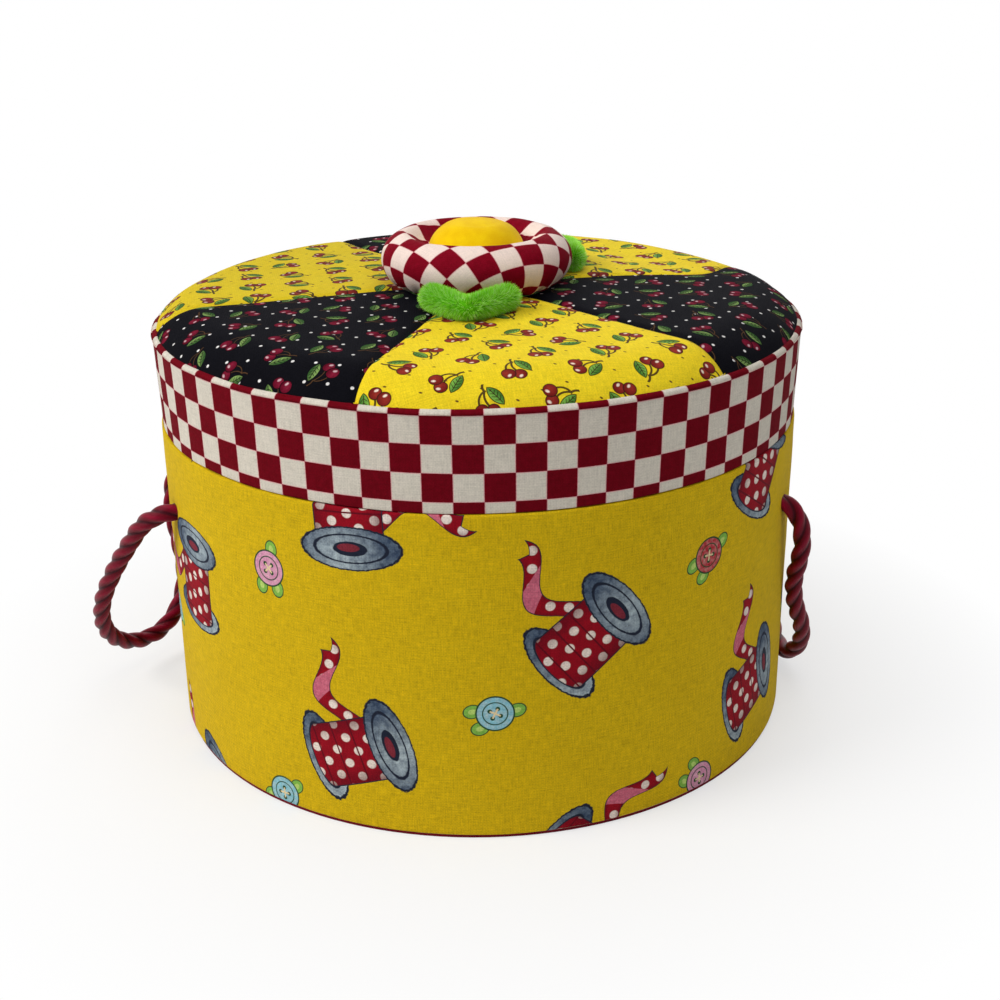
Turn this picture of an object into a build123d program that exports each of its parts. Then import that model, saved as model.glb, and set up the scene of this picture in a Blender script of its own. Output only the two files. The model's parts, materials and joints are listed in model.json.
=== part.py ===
from build123d import *
from math import cos, degrees, pi, radians, sin, sqrt, tan
import os

os.makedirs("parts", exist_ok=True)

# A round, cloth covered sewing box: a card drum with a lift-off lid, an inner collar that the lid
# slides over, a tray hung from that collar, two cord handles and a flower pincushion on a padded top.
# Millimetres, +Z up. The origin is the centre of the face it stands on, and the front is towards -Y.

# Cloth and card
cloth = 0.4
lining_cloth = 0.3
patch_cloth = 0.5
wall_card = 3.0
floor_card = 3.0
collar_card = 1.5
lid_band_card = 1.3
lid_top_card = 2.0
pad_card = 1.5

# Drum
base_radius = 126.5
drum_height = 126.1
bottom_panel = 1.3
bottom_panel_inset = 0.7
collar_rise = 24.3

# Lid
lid_clearance = 0.4
lid_rest_gap = 0.3
lid_band_height = 33.6
lid_band_flare = 1.1
rim_roll = 2.8
rim_bead = 2.2
rim_seam_inset = 0.6
lid_lining_card = 1.8
lid_lining_gap = 0.3

# Padded top
pad_roll = 20.0
pad_crown = 10.9
pad_sag = 1.2
pad_hole_radius = 6.0
seam_angles = {
    "patch_front": (-19, 42.5),
    "patch_right": (42.5, 102),
    "patch_back_right": (102, 165),
    "patch_back": (165, 222),
    "patch_back_left": (222, 283),
    "patch_left": (283, 341),
}

# Pad on the floor inside
floor_pad_gap = 0.5
floor_pad_edge = 3.0
floor_pad_crown = 6.0
floor_pad_roll = 14.0
floor_pad_sag = 1.5

# Tray
tray_knot_clearance = 7.2
tray_wall = 1.6
tray_floor = 1.6
tray_rest_gap = 0.3
tray_clearance = 0.8
tray_flange_overhang = 1.7
tray_draft = 2.0
tray_wells = 6
tray_divider = 4.4
tray_centre_radius = 37.0
tray_corner = 7.0
tray_floor_fillet = 2.5
tray_cut_margin = 1.2
thumb_notch_radius = 15.0
thumb_notch_depth = 11.0
thumb_notch_reach = 4.8

# Cord handles
cord_radius = 2.75
cord_hole_clearance = 0.15
cord_hole_height = 98.0
cord_hole_spread = 22.5
cord_stand_off = 3.2
cord_joint_gap = 0.2
cord_arc_share = 0.45
knot_radius = 5.5
knot_gap = 0.2
knot_tail = 13.0

# The free points of each handle's hanging loop, from its front hole to its rear hole
left_loop = [
    (-130.5, -45.5, 92.0),
    (-138.5, -38.5, 80.0),
    (-146.5, -32.0, 67.5),
    (-155.0, -25.0, 51.5),
    (-159.5, -16.0, 35.5),
    (-158.5, -5.0, 21.5),
    (-151.5, 7.0, 13.5),
    (-142.0, 18.5, 13.5),
    (-135.5, 29.0, 21.5),
    (-133.5, 36.5, 35.0),
    (-137.0, 41.5, 50.0),
    (-139.5, 46.0, 64.5),
    (-137.0, 49.5, 78.5),
    (-129.5, 50.5, 90.5),
]
right_loop = [
    (125.0, -50.0, 86.0),
    (125.5, -46.5, 73.5),
    (124.5, -40.5, 61.5),
    (127.0, -34.0, 47.5),
    (133.0, -26.0, 33.0),
    (135.0, -16.5, 19.5),
    (132.5, -5.5, 9.5),
    (130.5, 7.0, 7.0),
    (130.0, 20.5, 12.5),
    (130.5, 32.5, 25.0),
    (131.0, 41.5, 41.0),
    (131.0, 47.0, 57.5),
    (130.5, 50.0, 75.0),
    (127.5, 51.0, 87.0),
]

# Flower pincushion
felt = 0.5
felt_radius = 30.0
ring_middle_radius = 25.5
ring_half_width = 12.0
ring_half_height = 10.4
ring_sink = 0.5
dome_radius = 19.2
dome_above_ring = 4.9
dome_edge_drop = 9.5
dome_roll = 8.5
dome_sag = 3.2
dome_stem_gap = 0.6

# Chenille leaves
leaf_radius = 5.0
leaf_tip_distance = 57.5
leaf_end_distance = 45.5
leaf_bend = 8.0
leaf_seat = 0.1
leaf_angles = {"front_leaf": -3.5, "side_leaf": 136.0}
leaf_half_angles = {"front_leaf": 18.5, "side_leaf": 24.0}
leaf_tucks = {"front_leaf": 0.0, "side_leaf": 3.0}

# How far the space cut away runs past what it is cut from
cut_overshoot = 10.0

# Levels and radii that follow
floor_top = bottom_panel + floor_card
wall_outer = base_radius - cloth
wall_inner = wall_outer - wall_card
collar_inner = wall_inner - collar_card
inside_radius = collar_inner - cloth
collar_top = drum_height + collar_rise - cloth
lining_top = collar_top + cloth
collar_cover_radius = wall_inner + cloth

band_lining_inner = collar_cover_radius + lid_clearance
band_card_inner = band_lining_inner + lining_cloth
band_card_outer = band_card_inner + lid_band_card
band_hem_radius = band_card_outer + cloth
lid_radius = band_hem_radius + lid_band_flare
lid_bottom = drum_height + lid_rest_gap
band_roll_start = lid_bottom + lid_band_height
rim_top = band_roll_start + rim_roll
pad_foot = rim_top - rim_bead
lid_top_card_bottom = pad_foot - lid_top_card
patch_radius = lid_radius - rim_roll - rim_seam_inset
pad_apex = rim_top + pad_crown

tray_bottom_of_flange = lining_top + tray_rest_gap
tray_top = tray_bottom_of_flange + tray_wall
tray_bottom = cord_hole_height + knot_radius + tray_knot_clearance
tray_depth = tray_bottom_of_flange - tray_bottom
tray_outer_top = inside_radius - tray_clearance
tray_outer_bottom = tray_outer_top - tray_depth * tan(radians(tray_draft))
tray_flange_radius = inside_radius + tray_flange_overhang
tray_cut_step = tray_floor_fillet + tray_cut_margin
tray_cup_cut_radius = tray_centre_radius + tray_divider + tray_cut_step
tray_rim_cut_radius = tray_outer_bottom - tray_wall - tray_cut_step

cord_hole_radius = cord_radius + cord_hole_clearance
cord_turn_radius = base_radius + cord_stand_off

up = (Align.CENTER, Align.CENTER, Align.MIN)


def disc(radius, low, high):
    """A flat round piece between two levels."""
    return Pos(0, 0, low) * Cylinder(radius, high - low, align=up)


def band(outer, inner, low, high):
    """A round wall between two radii and two levels."""
    return disc(outer, low, high) - disc(inner, low, high)


def turned(*edges, arc=360, start=0):
    """The solid that a closed outline of radius and level sweeps round the box's axis."""
    outline = Plane.XZ * make_face(Curve() + [*edges])
    return Rot(0, 0, start) * revolve(outline, axis=Axis.Z, revolution_arc=arc)


def from_front(azimuth):
    """The angle from +X of a direction given in degrees from the front, towards +X."""
    return azimuth - 90


def at_hole(side, end, radius):
    """A point on the line of a cord hole. side is -1 left or 1 right, end is -1 front or 1 rear."""
    spread = radians(cord_hole_spread)
    return Vector(side * radius * cos(spread), end * radius * sin(spread), cord_hole_height)


def hole_rod(side, end, radius, near, far):
    """A round rod along the line of a cord hole, from one distance from the axis to another."""
    start = at_hole(side, end, near)
    direction = at_hole(side, end, far) - start
    return Plane(origin=start, z_dir=direction) * Cylinder(radius, direction.length, align=up)


def with_cord_holes(piece):
    """A wall piece with the four cord holes through it."""
    near = collar_inner - cut_overshoot
    far = base_radius + cut_overshoot
    for side in (-1, 1):
        for end in (-1, 1):
            piece -= hole_rod(side, end, cord_hole_radius, near, far)
    return piece


def cushion_outline(radius, foot, shoulder, apex, roll, sag):
    """A low round cushion's half outline: a flat foot, a rolled edge and a gentle crown."""
    crown_reach = radius - roll
    crown_curve = (crown_reach**2 + sag**2) / (2 * sag)
    half = crown_reach / 2
    middle = apex - crown_curve + sqrt(crown_curve**2 - half**2)
    slope = crown_reach / crown_curve
    crown = ThreePointArc((0, apex), (half, middle), (crown_reach, apex - sag))
    edge = TangentArc(
        (crown_reach, apex - sag),
        (radius, shoulder),
        tangent=(sqrt(1 - slope**2), -slope),
    )
    sides = Polyline((radius, shoulder), (radius, foot), (0, foot), (0, apex))
    return [*crown.edges(), *edge.edges(), *sides.edges()]


nodes = {}


# Drum: bottom panel, floor, wall, collar, lining and the pad inside
nodes["bottom_panel"] = disc(base_radius - bottom_panel_inset, 0, bottom_panel)
nodes["floor_board"] = disc(wall_inner, bottom_panel, floor_top)
nodes["wall_board"] = with_cord_holes(
    band(wall_outer, wall_inner, bottom_panel, drum_height - cloth)
)
nodes["wall_cover"] = with_cord_holes(
    band(base_radius, wall_outer, bottom_panel, drum_height)
    + band(wall_outer, wall_inner, drum_height - cloth, drum_height)
)
nodes["collar"] = with_cord_holes(band(wall_inner, collar_inner, floor_top, collar_top))
nodes["drum_lining"] = with_cord_holes(
    band(collar_inner, inside_radius, floor_top, lining_top)
    + band(wall_inner, collar_inner, collar_top, lining_top)
    + band(collar_cover_radius, wall_inner, drum_height, lining_top)
)
floor_pad_radius = inside_radius - floor_pad_gap
floor_pad_foot = floor_top + pad_card
nodes["floor_pad_card"] = disc(floor_pad_radius, floor_top, floor_pad_foot)
nodes["floor_pad"] = turned(
    *cushion_outline(
        floor_pad_radius,
        floor_pad_foot,
        floor_pad_foot + floor_pad_edge,
        floor_pad_foot + floor_pad_crown,
        floor_pad_roll,
        floor_pad_sag,
    )
)


# Handles: a knotted end in each hole, and a hanging loop that turns on the line between its two holes
def knotted_end(side, end):
    """The stretch of cord in its hole, with its knot and tail inside the drum."""
    knot_reach = inside_radius - knot_gap - knot_radius
    turn = at_hole(side, end, cord_turn_radius)
    knot = at_hole(side, end, knot_reach)
    tail_end = knot - Vector(0, 0, knot_tail)
    piece = hole_rod(side, end, cord_radius, knot_reach, cord_turn_radius)
    piece += Pos(turn) * Sphere(cord_radius)
    piece += Pos(knot) * Sphere(knot_radius)
    piece += Pos(tail_end) * Cylinder(cord_radius, knot_tail, align=up)
    return piece


def loop_path(side, points):
    """Straight runs joined by arcs as large as the runs allow, from joint to joint of a handle."""
    joint = cord_radius + cord_joint_gap
    ends = [at_hole(side, -1, cord_turn_radius), at_hole(side, 1, cord_turn_radius)]
    free = [Vector(*p) for p in points]
    first = ends[0] + (free[0] - ends[0]).normalized() * joint
    last = ends[1] + (free[-1] - ends[1]).normalized() * joint
    route = [first, *free, last]
    bends = []
    for before, corner, after in zip(route, free, route[2:]):
        arriving = corner - before
        leaving = after - corner
        half_turn = radians(arriving.get_angle(leaving)) / 2
        shorter = min(arriving.length, leaving.length)
        bends.append(cord_arc_share * shorter / tan(half_turn))
    return FilletPolyline(*route, radius=bends), bends


def hanging_loop(name, side, points):
    """A handle's free cord, with its bends and its volume printed."""
    path, bends = loop_path(side, points)
    cord = sweep((path ^ 0) * Circle(cord_radius), path=path)
    expected = pi * cord_radius**2 * path.length
    print(name, "length", round(path.length, 1), "bend radii", [round(b, 1) for b in bends])
    print(name, "volume over section times length", round(cord.volume / expected, 4))
    return cord


for side_name, side, points in (("left", -1, left_loop), ("right", 1, right_loop)):
    nodes[f"{side_name}_front_knot"] = knotted_end(side, -1)
    nodes[f"{side_name}_rear_knot"] = knotted_end(side, 1)
    nodes[f"{side_name}_handle_loop"] = hanging_loop(side_name, side, points)


# Tray: one moulding with a centre well, a ring of wells, a flange and two thumb notches
def tray_well(angle):
    """The space of one outer well, drafted so that it opens upwards, with rounded corners."""
    inner = tray_centre_radius + tray_divider
    outer = tray_outer_bottom - tray_wall
    half_step = pi / tray_wells
    half_gap = tray_divider / 2
    ring_face = Circle(outer) - Circle(inner)
    reach = 2 * outer
    wedge = make_face(
        Polyline(
            (half_gap / sin(half_step), 0),
            (reach * cos(half_step) + half_gap / sin(half_step), reach * sin(half_step)),
            (reach * cos(half_step) + half_gap / sin(half_step), -reach * sin(half_step)),
            close=True,
        )
    )
    face = ring_face & wedge
    face = fillet(face.vertices(), tray_corner)
    space = extrude(face, tray_top - tray_bottom, taper=-tray_draft)
    space = fillet(space.faces().sort_by(Axis.Z)[0].edges(), tray_floor_fillet)
    return Pos(0, 0, tray_bottom + tray_floor) * Rot(0, 0, degrees(angle)) * space


def tray_centre_well():
    """The round well in the middle, drafted, with a rounded floor edge."""
    height = tray_top - tray_bottom
    space = Cone(
        tray_centre_radius,
        tray_centre_radius + height * tan(radians(tray_draft)),
        height,
        align=up,
    )
    space = fillet(space.edges().sort_by(Axis.Z)[0], tray_floor_fillet)
    return Pos(0, 0, tray_bottom + tray_floor) * space


def thumb_notches():
    """The two round notches across the tray's rim where it is lifted."""
    level = tray_top - thumb_notch_depth + thumb_notch_radius
    length = 2 * (tray_flange_radius + cut_overshoot)
    rod = Rot(0, 90, 0) * Cylinder(thumb_notch_radius, length)
    centre = Cylinder(tray_outer_bottom - thumb_notch_reach, 2 * thumb_notch_radius)
    return Pos(0, 0, level) * (rod - centre)


tray = turned(
    *Polyline(
        (0, tray_bottom),
        (tray_outer_bottom, tray_bottom),
        (tray_outer_top, tray_bottom_of_flange),
        (tray_flange_radius, tray_bottom_of_flange),
        (tray_flange_radius, tray_top),
        (0, tray_top),
        close=True,
    ).edges()
)
tray -= tray_centre_well()
for well in range(tray_wells):
    tray -= tray_well(2 * pi * well / tray_wells)
tray -= thumb_notches()


def tray_sector(angle):
    """A wedge round the divider at that angle, from the axis to past the flange."""
    half_step = pi / tray_wells
    reach = 2 * tray_flange_radius
    face = make_face(
        Polyline(
            (0, 0),
            (reach * cos(half_step), reach * sin(half_step)),
            (reach * cos(half_step), -reach * sin(half_step)),
            close=True,
        )
    )
    return Rot(0, 0, degrees(angle)) * extrude(face, tray_top)


# The moulding is kept as simple solids that meet face to face: a cup, a rim and a piece round
# each divider
tray_core = disc(tray_cup_cut_radius, 0, tray_top)
tray_inside_of_rim = disc(tray_rim_cut_radius, 0, tray_top)
nodes["tray_centre_cup"] = tray & tray_core
nodes["tray_rim"] = tray - tray_inside_of_rim
tray_between = (tray & tray_inside_of_rim) - tray_core
for divider in range(tray_wells):
    divider_angle = 2 * pi * (divider + 0.5) / tray_wells
    nodes[f"tray_divider_{divider + 1}"] = tray_between & tray_sector(divider_angle)


# Lid: cards, linings, the checked band with its rolled rim, the pad and its six patches
nodes["lid_band_card"] = band(
    band_card_outer, band_card_inner, lid_bottom + cloth, lid_top_card_bottom
)
nodes["lid_top_card"] = disc(band_card_outer, lid_top_card_bottom, pad_foot)
lid_lining_bottom = lid_top_card_bottom - lid_lining_card
nodes["lid_lining_card"] = disc(
    band_lining_inner - lid_lining_gap, lid_lining_bottom, lid_top_card_bottom
)
nodes["lid_band_lining"] = band(
    band_card_inner, band_lining_inner, lid_bottom + cloth, lid_lining_bottom
)
roll_centre = (lid_radius - rim_roll, band_roll_start)
nodes["lid_band_cover"] = turned(
    *Polyline(
        (lid_radius, band_roll_start),
        (band_hem_radius, lid_bottom),
        (band_lining_inner, lid_bottom),
        (band_lining_inner, lid_bottom + cloth),
        (band_card_outer, lid_bottom + cloth),
        (band_card_outer, pad_foot),
        (patch_radius, pad_foot),
        (patch_radius, rim_top),
        (lid_radius - rim_roll, rim_top),
    ).edges(),
    *CenterArc(roll_centre, rim_roll, 0, 90).edges(),
)
pad_outline = cushion_outline(
    patch_radius - patch_cloth,
    pad_foot,
    rim_top - patch_cloth,
    pad_apex - patch_cloth,
    pad_roll,
    pad_sag,
)
nodes["lid_pad"] = turned(*pad_outline)
top_outline = cushion_outline(patch_radius, pad_foot, rim_top, pad_apex, pad_roll, pad_sag)
middle_hole = disc(pad_hole_radius, pad_foot, pad_apex + cut_overshoot)
for name, (first_seam, last_seam) in seam_angles.items():
    wedge = turned(*top_outline, arc=last_seam - first_seam, start=from_front(first_seam))
    nodes[name] = wedge - nodes["lid_pad"] - middle_hole


# Pincushion: a felt disc, a stuffed ring and a stuffed centre that sits in it
felt_top = pad_apex + felt
ring_level = felt_top + ring_half_height - ring_sink
ring_top = ring_level + ring_half_height


def oval(middle, half_width, half_height, level):
    """An oval outline of radius and level."""
    return Pos(middle, level) * Ellipse(half_width, half_height)


def outline_box(inner, outer, low, high):
    """A plain outline between two radii and two levels."""
    return Pos(inner, low) * Rectangle(outer - inner, high - low, align=(Align.MIN, Align.MIN))


nodes["flower_felt"] = disc(felt_radius, pad_apex, felt_top)
ring_outline = oval(ring_middle_radius, ring_half_width, ring_half_height, ring_level)
ring_outline -= outline_box(0, 2 * ring_middle_radius, felt_top - ring_half_height, felt_top)
nodes["pincushion_ring"] = revolve(Plane.XZ * ring_outline, axis=Axis.Z)
dome_apex = ring_top + dome_above_ring
dome_edge = dome_apex - dome_edge_drop
stem_radius = ring_middle_radius - ring_half_width - dome_stem_gap
dome_edges = cushion_outline(
    dome_radius, ring_level, dome_edge, dome_apex, dome_roll, dome_sag
)
dome_outline = make_face(Curve() + dome_edges)
dome_outline += outline_box(0, stem_radius, felt_top, ring_level)
dome_outline -= ring_outline
nodes["pincushion_centre"] = revolve(Plane.XZ * dome_outline, axis=Axis.Z)


# Leaves: a fat chenille stem bent to a wide V, with round ends, lying on the padded top
def bent_leaf(azimuth, half_angle, tuck):
    """One leaf. azimuth is where its tip points, half_angle is from there to its ends as seen from
    the axis, and tuck draws it in towards the flower."""
    level = pad_apex - pad_sag * (leaf_end_distance / (patch_radius - pad_roll)) ** 2
    level += leaf_radius + leaf_seat
    tip = leaf_tip_distance - tuck
    end = leaf_end_distance - tuck
    spread = radians(half_angle)
    corners = [
        Vector(end * cos(spread), -end * sin(spread), level),
        Vector(tip, 0, level),
        Vector(end * cos(spread), end * sin(spread), level),
    ]
    path = FilletPolyline(*corners, radius=leaf_bend)
    stem = sweep((path ^ 0) * Circle(leaf_radius), path=path)
    stem += Pos(corners[0]) * Sphere(leaf_radius)
    stem += Pos(corners[2]) * Sphere(leaf_radius)
    return Rot(0, 0, from_front(azimuth)) * stem


for name, azimuth in leaf_angles.items():
    nodes[name] = bent_leaf(azimuth, leaf_half_angles[name], leaf_tucks[name])


for name, shape in nodes.items():
    export_step(shape, f"parts/{name}.step")
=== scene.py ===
import json
from math import cos, pi, radians, sin, sqrt

import bmesh
import bpy
import numpy as np
from mathutils import Matrix, Vector, noise


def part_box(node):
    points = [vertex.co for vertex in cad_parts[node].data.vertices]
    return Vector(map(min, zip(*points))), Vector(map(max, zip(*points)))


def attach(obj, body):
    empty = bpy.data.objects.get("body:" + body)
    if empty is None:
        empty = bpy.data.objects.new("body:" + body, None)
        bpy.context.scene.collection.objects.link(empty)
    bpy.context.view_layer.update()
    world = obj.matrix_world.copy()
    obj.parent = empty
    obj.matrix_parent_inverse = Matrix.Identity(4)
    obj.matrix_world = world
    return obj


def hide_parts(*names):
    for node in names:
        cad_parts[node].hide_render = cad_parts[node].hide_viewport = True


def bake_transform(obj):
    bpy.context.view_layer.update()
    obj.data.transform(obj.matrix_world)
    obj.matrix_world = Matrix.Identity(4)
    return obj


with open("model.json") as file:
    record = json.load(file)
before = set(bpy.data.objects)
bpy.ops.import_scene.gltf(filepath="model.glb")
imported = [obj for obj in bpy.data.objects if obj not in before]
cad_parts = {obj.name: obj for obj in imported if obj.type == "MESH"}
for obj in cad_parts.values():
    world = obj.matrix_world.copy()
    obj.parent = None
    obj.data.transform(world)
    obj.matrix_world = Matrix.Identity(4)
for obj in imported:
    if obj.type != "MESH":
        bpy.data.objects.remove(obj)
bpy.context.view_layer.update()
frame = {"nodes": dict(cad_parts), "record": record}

mm = 0.001
full_turn = 2 * pi

# Sizes that the solids don't give
cloth = 0.4 * mm
lining_cloth = 0.3 * mm
patch_cloth = 0.5 * mm
hem_overlap = 7 * mm
cord_diameter = 6.2 * mm
cord_lay = 29 * mm
lay_wander = 0.35
wander_length = 37 * mm
cord_step = 0.45 * mm
cord_columns = 42
ply_share = 0.62
ply_groove = (1 - ply_share) / 2 + sqrt(ply_share**2 - 0.75 * (1 - ply_share) ** 2)
cord_crest = cord_diameter / (1 + ply_groove)
cord_hole_spread = radians(22.5)
cord_turn_radius = 129.7 * mm
cord_hole_height = 98 * mm
cord_start_radius = 118.5 * mm
knot_radius = 115.5 * mm
hole_mouth_radius = 126.5 * mm
hole_dip = 0.3 * mm
bend_reach = 2.5 * mm

# The routes of the two handles between their holes, from the front hole to the rear one
left_loop = [
    (-0.1305, -0.0455, 0.0920),
    (-0.1385, -0.0385, 0.0800),
    (-0.1465, -0.0320, 0.0675),
    (-0.1550, -0.0250, 0.0515),
    (-0.1595, -0.0160, 0.0355),
    (-0.1585, -0.0050, 0.0215),
    (-0.1515, 0.0070, 0.0135),
    (-0.1420, 0.0185, 0.0135),
    (-0.1355, 0.0290, 0.0215),
    (-0.1335, 0.0365, 0.0350),
    (-0.1370, 0.0415, 0.0500),
    (-0.1395, 0.0460, 0.0645),
    (-0.1370, 0.0495, 0.0785),
    (-0.1295, 0.0505, 0.0905),
]
right_loop = [
    (0.1250, -0.0500, 0.0860),
    (0.1255, -0.0465, 0.0735),
    (0.1245, -0.0405, 0.0615),
    (0.1270, -0.0340, 0.0475),
    (0.1330, -0.0260, 0.0330),
    (0.1350, -0.0165, 0.0195),
    (0.1325, -0.0055, 0.0095),
    (0.1305, 0.0070, 0.0070),
    (0.1300, 0.0205, 0.0125),
    (0.1305, 0.0325, 0.0250),
    (0.1310, 0.0415, 0.0410),
    (0.1310, 0.0470, 0.0575),
    (0.1305, 0.0500, 0.0750),
    (0.1275, 0.0510, 0.0870),
]


# Shaders: plain arithmetic on fields and points adds the nodes
def linear(red, green, blue):
    """A colour given as a screen shows it, 0 to 255 a channel, in the renderer's own scale."""
    return tuple(((c / 255 + 0.055) / 1.055) ** 2.4 for c in (red, green, blue)) + (1,)


def feed(tree, inlet, value):
    """Gives a node's inlet another node's result, or a plain value."""
    if isinstance(value, Field):
        tree.links.new(value.socket, inlet)
    else:
        inlet.default_value = value


class Field:
    """Something that varies over a surface: a number, a colour, or a point in mm of its cloth."""

    def __init__(self, tree, socket):
        self.tree = tree
        self.socket = socket

    def node(self, kind, *values, output=0, **settings):
        """A new node of that kind, fed in order with the values, and its result as a field."""
        node = self.tree.nodes.new(kind)
        for name, value in settings.items():
            setattr(node, name, value)
        for inlet, value in zip(node.inputs, values):
            if value is not None:
                feed(self.tree, inlet, value)
        return Field(self.tree, node.outputs[output])

    def maths(self, operation, *others):
        return self.node("ShaderNodeMath", self, *others, operation=operation)

    def __add__(self, other):
        return self.maths("ADD", other)

    def __sub__(self, other):
        return self.maths("SUBTRACT", other)

    def __mul__(self, other):
        return self.maths("MULTIPLY", other)

    def size(self):
        return self.maths("ABSOLUTE")

    def least(self, other):
        return self.maths("MINIMUM", other)

    def most(self, other):
        return self.maths("MAXIMUM", other)

    def sine(self, wavelength):
        return (self * (full_turn / wavelength)).maths("SINE")

    def between(self, low, high):
        """0 at low and 1 at high, straight between them."""
        return self.node("ShaderNodeMapRange", self, low, high, clamp=True)

    def vector(self, operation, *others, output=0):
        return self.node("ShaderNodeVectorMath", self, *others, operation=operation, output=output)

    def moved(self, x, y):
        """The point as seen from (x, y)."""
        return self.vector("SUBTRACT", (x, y, 0))

    def stretched(self, x, y):
        return self.vector("MULTIPLY", (x, y, 1))

    def turned(self, angle):
        """The point in a frame turned back by that angle."""
        return self.node("ShaderNodeVectorRotate", self, None, None, angle, rotation_type="Z_AXIS")

    def away(self, x=0.0, y=0.0):
        """Its distance from (x, y)."""
        return self.vector("DISTANCE", (x, y, 0), output=1)

    def parts(self):
        """Its x and its y."""
        x = self.node("ShaderNodeSeparateXYZ", self)
        return x, Field(self.tree, x.socket.node.outputs[1])

    def noise(self, scale, detail=2.0, roughness=0.5):
        """Soft noise about 0.5, with about that many lumps to the mm."""
        return self.node("ShaderNodeTexNoise", self, None, scale, detail, roughness)

    def under(self, share, colour):
        """This colour with that share of another over it."""
        unused = [None] * 5
        return self.node("ShaderNodeMix", share, *unused, self, colour, output=2, data_type="RGBA")

    def painted(self, shape, colour, soft=0.09):
        """This colour with another where the shape's distance is below zero."""
        return self.under(shape.between(soft, -soft), colour)

    def outlined(self, shape, colour, width, line):
        """This colour with the shape painted on it, and a line of that width round the shape."""
        return self.painted(shape - width, line).painted(shape, colour)

    def shaded(self, factor):
        """This colour made darker or lighter by a factor."""
        return self.vector("SCALE", None, None, factor)


def plain(point, colour):
    """One colour, as a field."""
    made = point.node("ShaderNodeRGB")
    made.socket.default_value = colour
    return made


# Shapes on cloth, as distances in mm that are below zero inside
def spot(point, x, y, radius):
    return point.away(x, y) - radius


def hoop(point, x, y, radius, half_width):
    return (point.away(x, y) - radius).size() - half_width


def oval(point, x, y, half_width, half_height):
    small = min(half_width, half_height)
    return (point.moved(x, y).stretched(1 / half_width, 1 / half_height).away() - 1) * small


def slab(point, x, y, half_width, half_height):
    across, along = point.moved(x, y).parts()
    return (across.size() - half_width).most(along.size() - half_height)


def stem(point, start, end, bulge, half_width):
    """An arc from start to end, bowed to its left by bulge."""
    (ax, ay), (bx, by) = start, end
    chord = sqrt((bx - ax) ** 2 + (by - ay) ** 2)
    radius = (chord**2 / 4 + bulge**2) / (2 * abs(bulge))
    side = 1 if bulge > 0 else -1
    back = side * (radius - abs(bulge))
    middle = ((ax + bx) / 2, (ay + by) / 2)
    normal = (-(by - ay) / chord, (bx - ax) / chord)
    centre = (middle[0] - normal[0] * back, middle[1] - normal[1] * back)
    reach = sqrt((chord / 2) ** 2 + bulge**2)
    return hoop(point, *centre, radius, half_width).most(spot(point, *middle, reach))


def almond(point, half_length, half_width):
    """A leaf's outline along its own x axis."""
    radius = (half_length**2 + half_width**2) / (2 * half_width)
    back = radius - half_width
    return point.away(0, back).most(point.away(0, -back)) - radius


def scattered(point, width, height):
    """The point as seen from the nearest motif of a half-drop layout, and three random numbers."""
    step = (width, height, 1)
    half = (width / 2, height / 2, 0)
    square = point.vector("ADD", half).vector("SNAP", step)
    offset = point.vector("SNAP", step).vector("ADD", half)
    to_square = square.vector("DISTANCE", point, output=1)
    nearer = offset.vector("DISTANCE", point, output=1).maths("LESS_THAN", to_square)
    unused = [None] * 3
    centre = point.node("ShaderNodeMix", nearer, *unused, square, offset, output=1, data_type="VECTOR")
    random = centre.node("ShaderNodeTexWhiteNoise", centre, output=1)
    parts = random.node("ShaderNodeSeparateXYZ", random).socket.node.outputs
    return point.vector("SUBTRACT", centre), [Field(point.tree, part) for part in parts]


# Materials
thread_pitch = 0.62


def begin(name, where):
    """A new material and its point in mm: where is cloth, or object for a solid's own place."""
    material = bpy.data.materials.new(name)
    material.use_nodes = True
    tree = material.node_tree
    if where == "cloth":
        source = tree.nodes.new("ShaderNodeUVMap")
        source.uv_map = "cloth"
        output = source.outputs[0]
    else:
        source = tree.nodes.new("ShaderNodeTexCoord")
        output = source.outputs["Object"]
    return material, Field(tree, output).shaded(1 / mm)


def finish(material, colour, height, relief, roughness, sheen=0.0, tint=(1, 1, 1, 1), specular=0.3):
    """Gives the material its colour, its gloss in that tint, and its relief in metres for a height of 1."""
    shader = material.node_tree.nodes["Principled BSDF"]
    feed(material.node_tree, shader.inputs["Base Color"], colour)
    shader.inputs["Roughness"].default_value = roughness
    shader.inputs["Sheen Weight"].default_value = sheen
    shader.inputs["Sheen Roughness"].default_value = 0.4
    shader.inputs["Sheen Tint"].default_value = tint
    shader.inputs["Specular Tint"].default_value = tint
    shader.inputs["Specular IOR Level"].default_value = specular
    bump = material.node_tree.nodes.new("ShaderNodeBump")
    bump.inputs["Distance"].default_value = relief
    feed(material.node_tree, bump.inputs["Height"], height)
    material.node_tree.links.new(bump.outputs[0], shader.inputs["Normal"])
    return material


def woven(name, colouring, where="cloth", contrast=1.0, sheen=0.02, specular=0.1):
    """Plain woven cotton: crossing threads with slubs, over the colour that colouring gives."""
    material, point = begin(name, where)
    across, along = point.parts()
    weave = across.sine(2 * thread_pitch) * along.sine(2 * thread_pitch)
    thick_along = point.stretched(0.2, 2.2).noise(1.0, 3.0, 0.75) - 0.5
    thick_across = point.stretched(2.2, 0.2).noise(1.0, 3.0, 0.75) - 0.5
    slubs = thick_along + thick_across
    fade = point.noise(0.035, 2.0) - 0.5
    # The weave term paints shade into the colour: lighter where the threads cross over, darker between
    # them. Thicker slubs are lighter too, partly the yarn's own tone and partly painted light on the raised
    # threads.
    tone = slubs * (0.5 * contrast) + weave * (0.03 * contrast) + fade * 0.10 + 1.0
    height = weave * 0.5 + slubs * 2.4
    colour = colouring(point).shaded(tone)
    return finish(material, colour, height, 0.05 * mm, 0.85, sheen, specular=specular)


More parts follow.
